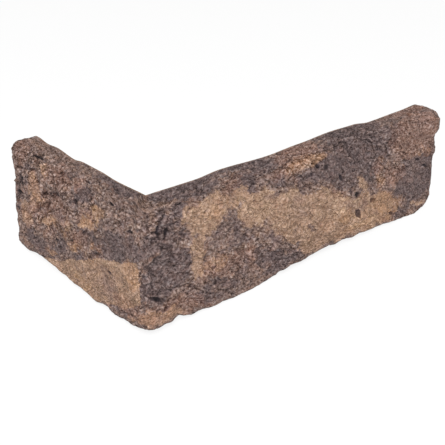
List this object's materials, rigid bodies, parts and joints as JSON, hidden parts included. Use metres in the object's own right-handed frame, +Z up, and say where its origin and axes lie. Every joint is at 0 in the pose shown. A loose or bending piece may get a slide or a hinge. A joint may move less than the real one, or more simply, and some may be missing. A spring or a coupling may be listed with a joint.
{
  "type": "corner brick slip",
  "caption": "L-shaped facing brick slip that wraps the outside corner of a wall, with torn, hand-moulded edges and flat backs.",
  "frame": {"origin": "middle of the footprint's bounding box, on the bed that the slip stands on", "axes": "+X along the long wing away from the upright outer corner, +Y along the short wing away from it, +Z up"},
  "size_m": [0.2218, 0.122, 0.0646],
  "materials": {
    "fired_clay": "matt, rough hand-moulded face with a brown-grey kiln coat over tan clay"
  },
  "bodies": {
    "root": {"corner_slip": "fired_clay"}
  },
  "joints": []
}
